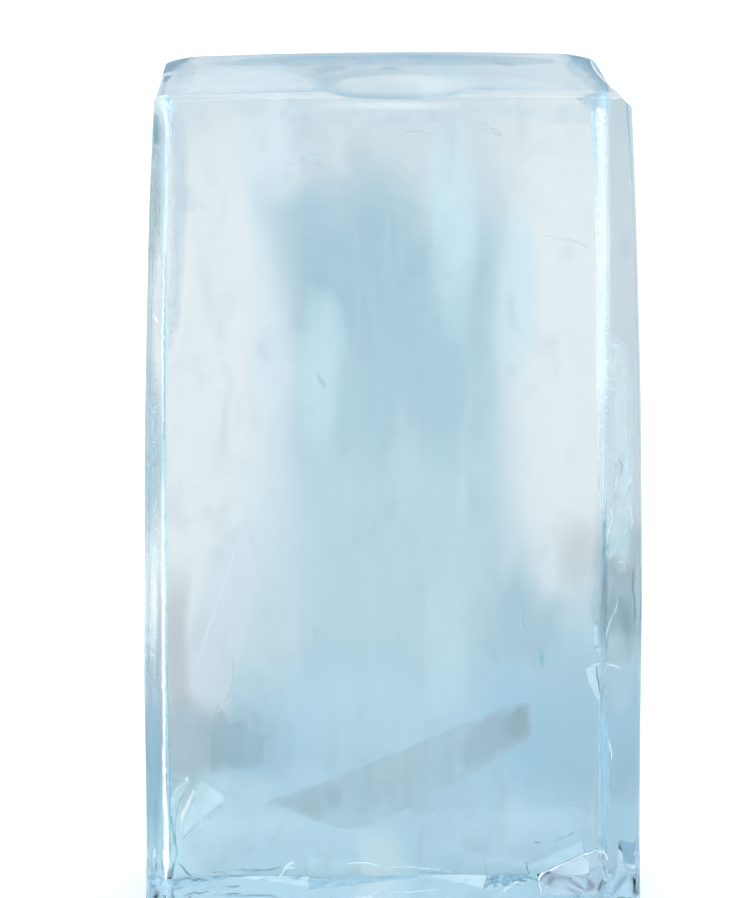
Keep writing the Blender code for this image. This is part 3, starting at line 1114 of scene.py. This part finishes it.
        (215, 346), (216, 293), (218, 251), (225, 224), (237, 223), (245, 240), (244, 303), (242, 339),
        (229, 354),
    )),
    Fracture("right_strip_blue", BLUE_COVER, Kind.VEIL, -98, 4, (
        (211, 252), (208, 209), (209, 135), (211, 79), (220, 79), (222, 135), (221, 209), (216, 252),
    )),
    # The foot.
    Fracture("foot_cloud_left", SKY_VEIL, Kind.VEIL, -100, 6, (
        (-246, 72), (-247, 38), (-219, 38), (-225, 56), (-231, 67),
    )),
    Fracture("foot_cloud_right", FOOT_COVER, Kind.VEIL, -100, 3, (
        (225, 30), (231, 41), (237, 51), (242, 58), (245, 58), (247, 44), (247, 28),
    )),
    Fracture("foot_cloud_corner", FOOT_COVER, Kind.VEIL, -92, 6, (
        (216, 27), (219, 43), (225, 56), (233, 64), (241, 67), (245, 64), (247, 47), (248, 26),
    )),
    Fracture("foot_block", LILAC, Kind.CRACK, -60, 2, (
        (155, 21), (155, 42), (174, 53), (215, 69), (219, 48), (215, 21),
    )),
)

SEAMS = (
    # The scar, the splash and the ledge on the right side.
    Seam("ledge", WHITE_LINE, -60, 0.8, ((200, 268), (214, 271), (228, 268), (240, 264))),
    Seam("scar_line_a", GREY_LINE, -100, 0.8, ((227, 375), (222, 357), (221, 343), (224, 326))),
    Seam("scar_line_b", GREY_LINE, -100, 0.8, ((231, 355), (229, 336), (233, 315), (239, 292))),
    Seam("scar_line_c", PALE_LINE, -100, 0.8, ((216, 305), (219, 324), (226, 340), (227, 351))),
    Seam("scar_line_d", DARK_LINE, -100, 0.7, ((243, 388), (242, 362), (244, 340), (244, 320))),
    Seam("splash_line_a", WHITE_LINE, -106, 0.9, ((215, 402), (217, 421), (220, 433), (218, 444))),
    Seam("splash_line_b", WHITE_LINE, -106, 0.8, ((237, 447), (240, 431), (238, 418))),
    Seam("splash_line_c", GREY_LINE, -106, 0.8, ((227, 475), (229, 487), (225, 495))),
    Seam("ledge_crack", DARK_LINE, -64, 0.9, ((209, 272), (209, 263), (211, 253), (212, 244), (215, 231))),
    Seam("right_curve", WHITE_LINE, -40, 0.7, ((214, 212), (221, 190), (226, 176), (227, 161))),
    # Broken ridges and cracks in the foot.
    Seam("foot_ridge", WHITE_LINE, -66, 1.3, ((154, 22), (154, 44), (173, 55), (194, 65), (216, 74))),
    Seam("foot_ridge_end", WHITE_LINE, -66, 1.1, ((210, 72), (218, 70), (223, 60))),
    Seam("foot_corner_ridge", WHITE_LINE, -90, 1.3, ((224, 27), (232, 40), (239, 49), (246, 55))),
    Seam("foot_streak", WHITE_LINE, 20, 1.3, ((117, 4), (126, 12), (140, 20))),
    Seam("foot_dot", DARK_LINE, 20, 1, ((132, 20), (136, 19), (142, 21))),
    Seam("foot_fork", WHITE_LINE, 60, 1.4, ((-113, 12), (-105, 25), (-99, 30), (-94, 32))),
    Seam("foot_fork_arm", WHITE_LINE, 60, 1, ((-107, 23), (-100, 25), (-94, 26))),
    Seam("foot_light_mid", WHITE_LINE, 100, 0.9, ((-43, 17), (-29, 20), (-14, 18), (-5, 13))),
    Seam("foot_light_right", PALE_LINE, 100, 0.8, ((-6, 15), (36, 13), (86, 6))),
    Seam("foot_light_left", PALE_LINE, 92, 1, ((-199, 5), (-191, 8), (-169, 12), (-147, 10))),
    Seam("foot_grey_left", GREY_LINE, 90, 1.3, ((-188, 11), (-163, 15), (-130, 15), (-107, 19))),
    Seam("foot_dark_left", DARK_LINE, 80, 1, ((-218, 28), (-211, 19), (-203, 9))),
    Seam("foot_dark_low", DARK_LINE, 80, 0.9, ((-214, 12), (-201, 7), (-196, 9), (-184, 6))),
    Seam("foot_dash", DARK_LINE, 60, 1.2, ((-170, 6), (-162, 4), (-152, 5))),
    Seam("foot_knot_left", DARK_LINE, 60, 1.6, ((-226, 28), (-228, 17), (-226, 8))),
    Seam("foot_knot_right", DARK_LINE, 100, 1.6, ((-222, 24), (-224, 13), (-224, 4))),
    Seam("dash_right", GREY_LINE, 0, 0.9, ((166, 65), (179, 69), (189, 74), (198, 79))),
    Seam("knot_right", DARK_LINE, 0, 0.9, ((150, 66), (153, 65), (157, 66))),
    Seam("knot_low", DARK_LINE, 0, 0.8, ((108, 24), (112, 22), (115, 23))),
    # Small marks and cracks higher up.
    Seam("mark_high", FAINT_LINE, -80, 0.9, ((145, 721), (166, 714), (181, 713), (200, 704))),
    Seam("mark_dark", TEAL_LINE, -30, 1.6, ((154, 282), (155, 271), (156, 260))),
    Seam("mark_dark_up", GREY_LINE, -30, 1.3, ((134, 333), (136, 311), (139, 299))),
    Seam("crack_upper", FAINT_LINE, -80, 1, ((84, 835), (94, 829), (104, 822), (112, 818))),
    Seam("crack_upper_mid", FAINT_LINE, -80, 1, ((3, 818), (17, 824), (27, 825), (39, 821))),
    Seam("leaf", GREY_LINE, -60, 1.8, ((-74, 577), (-71, 570), (-65, 562))),
    # The edges of the fracture low on the left, and of the chip beside it.
    Seam("sheet_edge_long", FAINT_LIGHT, 16, 1.8, (
        (-143, 429), (-160, 369), (-177, 316), (-195, 263), (-208, 213),
    )),
    Seam("sheet_edge_right", FAINT_LINE, 16, 0.9, (
        (-157, 296), (-162, 231), (-177, 211), (-181, 179), (-185, 143),
    )),
    Seam("chip_ridge", FAINT_LINE, -26, 0.8, (
        (-196, 146), (-186, 143), (-177, 138), (-168, 127), (-165, 118),
    )),
    Seam("chip_crack_a", PALE_LINE, -26, 1, ((-198, 144), (-203, 128), (-209, 113), (-216, 93))),
    Seam("chip_crack_b", PALE_LINE, -30, 0.8, ((-213, 145), (-219, 135), (-224, 124), (-226, 112))),
    Seam("chip_crack_c", GREY_LINE, -30, 0.8, (
        (-205, 148), (-211, 133), (-218, 118), (-221, 92), (-219, 70),
    )),
    Seam("chip_crack_d", TEAL_LINE, -30, 1.4, ((-224, 112), (-223, 92), (-220, 71), (-221, 53))),
    # The left front edge.
    Seam("edge_teal_low", TEAL_LINE, -106, 0.9, (
        (-226, 312), (-227, 249), (-226, 186), (-226, 143), (-226, 101), (-226, 73),
    )),
    # Painted glints: short white slivers by the left edge.
    Seam("left_glint_high", WHITE_LINE, -110, 0.8, ((-238, 650), (-236, 644), (-233, 639))),
    Seam("left_glint_low", WHITE_LINE, -100, 0.8, ((-243, 91), (-242, 85), (-243, 79))),
)


@dataclass
class IceSkin:
    """The block's clear skin: a fine lattice bent to the melted block's shape.

    An edge's radii are its radius low down and at the top, for the front left, front right, back left and
    back right edges in turn.
    """

    width: float = 0.508
    depth: float = 0.254
    height: float = 0.870
    melt_start: float = 0.250
    melt_sides: float = 0.0155
    melt_faces: float = 0.009
    back_in_left: float = 0.023
    back_in_left_top: float = 0.015
    back_in_right: float = 0.024
    crown: float = 0.004
    crown_from: float = 0.8
    foot_spread: float = 0.002
    foot_spread_height: float = 0.120
    wave: float = 0.0016
    wave_length: float = 0.170
    wave_from_foot: float = 0.060
    rounding_start: float = 0.700
    rim_radius: float = 0.006
    edge_radii: tuple[Row, ...] = ((0.007, 0.012), (0.008, 0.014), (0.009, 0.044), (0.011, 0.045))
    cells: tuple[int, int, int] = (112, 58, 186)
    edge_cells: int = 6
    sharp_angle: float = 16.0

    def lattice(self, material: bpy.types.Material) -> bpy.types.Mesh:
        """Make the flat-sided lattice with Geometry Nodes.

        Args:
            material: the finish it carries.

        Returns:
            A mesh of a cube from -1 to 1, with the lattice's cells.
        """
        tree = bpy.data.node_groups.new("ice_lattice", "GeometryNodeTree")
        tree.interface.new_socket("Geometry", in_out="OUTPUT", socket_type="NodeSocketGeometry")
        names = ("Cells X", "Cells Y", "Cells Z")
        for name in names:
            tree.interface.new_socket(name, in_out="INPUT", socket_type="NodeSocketInt")
        tree.interface.new_socket("Material", in_out="INPUT", socket_type="NodeSocketMaterial")
        entry = tree.nodes.new("NodeGroupInput")
        cube = tree.nodes.new("GeometryNodeMeshCube")
        cube.inputs["Size"].default_value = (2, 2, 2)
        for name, socket in zip(names, ("Vertices X", "Vertices Y", "Vertices Z")):
            tree.links.new(entry.outputs[name], cube.inputs[socket])
        paint = tree.nodes.new("GeometryNodeSetMaterial")
        real = tree.nodes.new("GeometryNodeRealizeInstances")
        out = tree.nodes.new("NodeGroupOutput")
        tree.links.new(cube.outputs["Mesh"], real.inputs[0])
        tree.links.new(real.outputs[0], paint.inputs["Geometry"])
        tree.links.new(entry.outputs["Material"], paint.inputs["Material"])
        tree.links.new(paint.outputs[0], out.inputs[0])
        holder = bpy.data.objects.new("lattice", bpy.data.meshes.new("lattice"))
        bpy.context.scene.collection.objects.link(holder)
        modifier = holder.modifiers.new("lattice", "NODES")
        modifier.node_group = tree
        sockets = {item.name: item.identifier for item in tree.interface.items_tree}
        for name, count in zip(names, self.cells):
            modifier[sockets[name]] = count + 1
        modifier[sockets["Material"]] = material
        graph = bpy.context.evaluated_depsgraph_get()
        mesh = bpy.data.meshes.new_from_object(holder.evaluated_get(graph))
        bpy.data.objects.remove(holder, do_unlink=True)
        return mesh

    def spread(self, share: np.ndarray, count: int, half: float, radius: float) -> np.ndarray:
        """Place lattice steps: fine steps in the edge zone, even ones between.

        Args:
            share: places from -1 to 1.
            count: cells along this axis.
            half: half the length along this axis.
            radius: width of the edge zone.

        Returns:
            Places in metres.
        """
        edge = 2.0 * self.edge_cells / count
        flat = half - radius
        reach = np.abs(share)
        turn = (reach - (1.0 - edge)) / edge
        inner = reach / (1.0 - edge) * flat
        outer = flat + radius * np.tan(np.clip(turn, 0, 1) * math.pi / 4)
        return np.sign(share) * np.where(reach <= 1.0 - edge, inner, outer)

    def shape(self, lattice: np.ndarray) -> np.ndarray:
        """Bend the lattice to the melted block.

        Args:
            lattice: points on the cube from -1 to 1.

        Returns:
            Points on the block, in metres.
        """
        across, along, up = lattice.T
        high = smooth(self.rounding_start, self.height, (up + 1) / 2 * self.height)
        corner = (across > 0).astype(int) + 2 * (along > 0)
        radii = np.array(self.edge_radii)
        radius = radii[corner, 0] + (radii[corner, 1] - radii[corner, 0]) * high
        x = self.spread(across, self.cells[0], self.width / 2, radius)
        y = self.spread(along, self.cells[1], self.depth / 2, radius)
        z = self.spread(up, self.cells[2], self.height / 2, self.rim_radius) + self.height / 2
        x, y, inset, normal = self.round_plan(x, y, radius)
        x, y, z = self.round_rims(x, y, z, inset, normal)
        melted = self.melt(np.stack([x, y, z], axis=1))
        return np.clip(melted, *(np.array(corner) for corner in CAD_BOX))

    def round_plan(self, x: np.ndarray, y: np.ndarray, radius: np.ndarray) -> tuple[np.ndarray, ...]:
        """Round the vertical edges.

        Args:
            x: places left to right.
            y: places front to back.
            radius: the radius of the nearest vertical edge.

        Returns:
            The new x and y, each point's distance in from the outline, and the outline's normal.
        """
        in_x = np.abs(x) - (self.width / 2 - radius)
        in_y = np.abs(y) - (self.depth / 2 - radius)
        corner = (in_x > 0) & (in_y > 0)
        length = np.hypot(in_x, in_y) + NOT_ZERO
        reach = np.maximum(in_x, in_y)
        new_x = np.where(corner, self.width / 2 - radius + in_x * reach / length, np.abs(x))
        new_y = np.where(corner, self.depth / 2 - radius + in_y * reach / length, np.abs(y))
        gap_x = self.width / 2 - np.abs(x)
        gap_y = self.depth / 2 - np.abs(y)
        inset = np.where(corner, radius - reach, np.minimum(gap_x, gap_y))
        normal_x = np.where(corner, in_x / length, (gap_x <= gap_y).astype(float)) * np.sign(x)
        normal_y = np.where(corner, in_y / length, (gap_x > gap_y).astype(float)) * np.sign(y)
        return new_x * np.sign(x), new_y * np.sign(y), inset, np.stack([normal_x, normal_y])

    def round_rims(
        self, x: np.ndarray, y: np.ndarray, z: np.ndarray, inset: np.ndarray, normal: np.ndarray
    ) -> tuple[np.ndarray, ...]:
        """Round the edges of the top and of the foot.

        Args:
            x: places left to right.
            y: places front to back.
            z: heights.
            inset: distance in from the outline.
            normal: the outline's normal.

        Returns:
            The new x, y and z.
        """
        middle = self.height / 2
        drop = middle - np.abs(z - middle)
        radius = self.rim_radius
        in_out = radius - inset
        in_up = radius - drop
        rim = (in_out > 0) & (in_up > 0)
        scale = np.where(rim, np.maximum(in_out, in_up) / (np.hypot(in_out, in_up) + NOT_ZERO), 1.0)
        step = in_out * scale - in_out
        x = x + np.where(rim, step, 0.0) * normal[0]
        y = y + np.where(rim, step, 0.0) * normal[1]
        new_drop = np.where(rim, radius - in_up * scale, drop)
        return x, y, np.where(z > middle, self.height - new_drop, new_drop)

    def melt(self, points: np.ndarray) -> np.ndarray:
        """Narrow the upper part, draw the back in and press slow waves into the faces.

        Args:
            points: points on the sawn block.

        Returns:
            Points on the melted block.
        """
        x, y, z = points.T
        across = x / (self.width / 2)
        along = y / (self.depth / 2)
        rise = np.clip((z - self.melt_start) / (self.height - self.melt_start), 0, None) ** 2
        above_foot = smooth(0.0, self.foot_spread_height, z)
        left = self.back_in_left + (self.back_in_left_top - self.back_in_left) * rise
        drawn_in = np.where(x > 0, self.back_in_right, left) * (along + 1) / 2
        x = x - across * (self.melt_sides * rise + self.foot_spread * above_foot + drawn_in)
        y = y - along * (self.melt_faces * rise + self.foot_spread * above_foot)
        z = z - self.crown * across**2 * smooth(self.height * self.crown_from, self.height, z)
        points = np.stack([x, y, z], axis=1)
        waves = np.array([noise.noise(Vector(p) / self.wave_length) for p in points])
        depth = self.wave * (waves + 1.0) * smooth(0.0, self.wave_from_foot, z)
        facing = np.stack([x / self.width, y / self.depth], axis=1)
        facing /= np.linalg.norm(facing, axis=1, keepdims=True) + NOT_ZERO
        points[:, :2] -= facing * depth[:, None]
        return points

    def chip(self, skin: bpy.types.Object, material: bpy.types.Material) -> None:
        """Cut every chip out of the skin.

        Args:
            skin: the whole skin, changed in place.
            material: the ice's finish.
        """
        group = bpy.data.collections.new("bites")
        bpy.context.scene.collection.children.link(group)
        breaks = [item.chip(index, self.depth) for index, item in enumerate(FOOT_BREAKS)]
        lumps = [chip.cutter(group, material) for chip in [*CHIPS, *breaks]]
        cut = skin.modifiers.new("chips", "BOOLEAN")
        cut.operation = "DIFFERENCE"
        cut.solver = "EXACT"
        cut.operand_type = "COLLECTION"
        cut.collection = group
        graph = bpy.context.evaluated_depsgraph_get()
        whole = skin.data
        skin.data = bpy.data.meshes.new_from_object(skin.evaluated_get(graph))
        skin.modifiers.clear()
        skin.data.materials.clear()
        skin.data.materials.append(material)
        skin.data.polygons.foreach_set("material_index", [0] * len(skin.data.polygons))
        bpy.data.meshes.remove(whole)
        for lump in lumps:
            bpy.data.objects.remove(lump, do_unlink=True)
        bpy.data.collections.remove(group)

    def build(self, material: bpy.types.Material) -> bpy.types.Object:
        """Build the skin and let it stand for the CAD node.

        Args:
            material: the ice's finish.

        Returns:
            The skin.
        """
        mesh = self.lattice(material)
        count = len(mesh.vertices)
        places = np.empty(count * 3)
        mesh.vertices.foreach_get("co", places)
        lattice = places.reshape(-1, 3)
        points = self.shape(lattice)
        mesh.vertices.foreach_set("co", points.ravel())
        mesh.update()
        skin = bpy.data.objects.new("ice_block_skin", mesh)
        bpy.context.scene.collection.objects.link(skin)
        self.chip(skin, material)
        skin.data.shade_smooth()
        skin.data.set_sharp_from_angle(angle=math.radians(self.sharp_angle))
        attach(skin, BODY)
        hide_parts(NODE)
        return skin


@dataclass
class Studio:
    """Pale floor, soft light and the camera."""

    distance: float = 5.127
    film_width: float = 36.0
    sight: float = 100.0
    azimuth: float = -2.6
    pitch: float = 14.38
    height: float = 1.7936
    sideways: float = -0.0212
    lens: float = 208.27
    floor_half: float = 40.0
    floor_gap: float = 0.0006
    floor_colour: Row = (0.93, 0.93, 0.93, 1.0)
    floor_roughness: float = 0.9
    horizon_front: Row = (6.00, 6.00, 6.00, 1.0)
    horizon_side: Row = (0.90, 0.93, 0.95, 1.0)
    horizon_back: Row = (0.58, 0.75, 0.87, 1.0)
    zenith: Row = (1.32, 1.32, 1.32, 1.0)
    side_to_back: Row = (-0.30, 0.50)
    side_to_front: Row = (-0.45, -0.80)
    low_to_high: Row = (0.12, 0.62)

    def camera(self) -> None:
        """Place the camera a little left of the front, looking slightly down."""
        data = bpy.data.cameras.new("camera")
        data.lens = self.lens
        data.sensor_width = self.film_width
        data.clip_end = self.sight
        camera = bpy.data.objects.new("camera", data)
        turn = math.radians(self.azimuth)
        ahead = Vector((-math.sin(turn), math.cos(turn), 0))
        right = Vector((math.cos(turn), math.sin(turn), 0))
        camera.location = -ahead * self.distance + right * self.sideways + Vector((0, 0, self.height))
        camera.rotation_euler = (math.radians(90 - self.pitch), 0, turn)
        bpy.context.scene.collection.objects.link(camera)
        bpy.context.scene.camera = camera

    def floor(self) -> None:
        """Lay a plain pale floor just under the foot."""
        bm = bmesh.new()
        bmesh.ops.create_grid(bm, x_segments=1, y_segments=1, size=self.floor_half)
        bmesh.ops.translate(bm, vec=(0, 0, -self.floor_gap), verts=bm.verts)
        mesh = bpy.data.meshes.new("floor")
        bm.to_mesh(mesh)
        bm.free()
        floor = bpy.data.objects.new("floor", mesh)
        material = bpy.data.materials.new("pale_floor")
        material.use_nodes = True
        shader = material.node_tree.nodes["Principled BSDF"]
        shader.inputs["Base Color"].default_value = self.floor_colour
        shader.inputs["Roughness"].default_value = self.floor_roughness
        mesh.materials.append(material)
        bpy.context.scene.collection.objects.link(floor)

    def world(self) -> None:
        """Light it with a soft surround: bright overhead and from the front, dimmer behind and beside."""
        world = bpy.data.worlds.new("surround")
        world.use_nodes = True
        paint = Painter(world.node_tree)
        background = world.node_tree.nodes["Background"]
        split = paint.node("ShaderNodeSeparateXYZ")
        paint.feed(split.inputs[0], paint.node("ShaderNodeTexCoord").outputs["Generated"])
        _, along, up = split.outputs
        low = paint.mix(paint.rise(along, *self.side_to_back), self.horizon_side, self.horizon_back)
        low = paint.mix(paint.rise(along, *self.side_to_front), low, self.horizon_front)
        high = paint.rise(paint.sum("ABSOLUTE", up), *self.low_to_high)
        paint.feed(background.inputs["Color"], paint.mix(high, low, self.zenith))
        background.inputs["Strength"].default_value = 1.0
        bpy.context.scene.world = world

    def build(self) -> None:
        """Set up the studio."""
        self.camera()
        self.floor()
        self.world()
        bpy.context.scene.view_settings.view_transform = "Standard"


def report(piece: bpy.types.Object) -> None:
    """Say which piece was made and how many faces it has."""
    log.info("%s: %d faces", piece.name, len(piece.data.polygons))


def main() -> None:
    """Build the studio and the block, piece by piece."""
    logging.basicConfig(level=logging.INFO, format="%(name)s: %(message)s")
    Studio().build()
    report(IceSkin().build(ClearIce().make()))
    cracks = (*FRACTURES, *SEAMS)
    for finish in {item.finish.name: item.finish for item in cracks}.values():
        report(place_cracks(finish, [item.shard() for item in cracks if item.finish is finish]))


if __name__ == "__main__":
    main()
